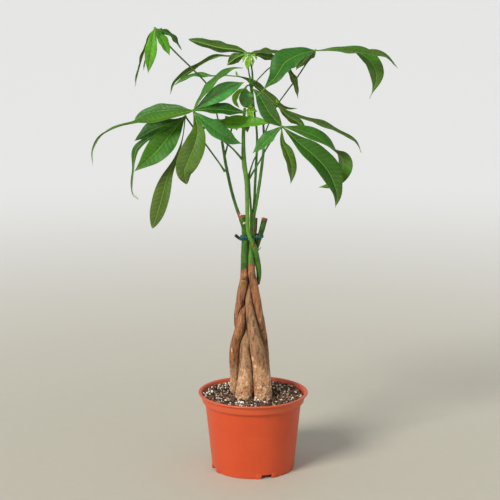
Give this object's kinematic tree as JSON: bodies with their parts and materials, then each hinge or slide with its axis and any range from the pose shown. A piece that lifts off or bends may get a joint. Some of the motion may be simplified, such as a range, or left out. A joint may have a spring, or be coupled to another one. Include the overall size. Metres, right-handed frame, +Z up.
{
  "type": "potted money tree",
  "caption": "Small indoor tree with plaited woody trunks, green shoots held by a twist tie and palm-shaped compound leaves, in a plastic nursery pot with a rolled lip.",
  "frame": {"origin": "middle of the pot's flat underside", "axes": "+Z up the trunks, +X to the right and -Y towards the viewer of the picture"},
  "size_m": [0.4397, 0.1908, 0.6611],
  "materials": {
    "pot_plastic": "satin",
    "potting_mix": "rough",
    "bark": "rough",
    "young_wood": "satin",
    "dead_wood": "rough",
    "tie_plastic": "satin",
    "leaf": "satin",
    "young_leaf": "satin"
  },
  "bodies": {
    "root": {"pot": "pot_plastic", "potting_mix": "potting_mix", "trunk_front_right": "bark", "trunk_front_left": "bark", "trunk_left": "bark", "trunk_back": "bark", "trunk_right": "bark", "shoot_left": "young_wood", "shoot_front": "young_wood", "shoot_centre": "young_wood", "cut_stub": "young_wood", "dry_stub": "dead_wood", "twist_tie": "tie_plastic", "leaf_top_left": "leaf", "leaf_left": "leaf", "leaf_front_left": "leaf", "leaf_top": "leaf", "young_leaf_top": "young_leaf", "leaf_upper_back": "leaf", "leaf_centre": "leaf", "young_leaf_centre": "young_leaf", "small_leaf_right": "leaf", "leaf_top_right": "leaf", "leaf_front_right": "leaf", "leaf_right": "leaf", "leaf_back": "leaf"}
  },
  "joints": []
}
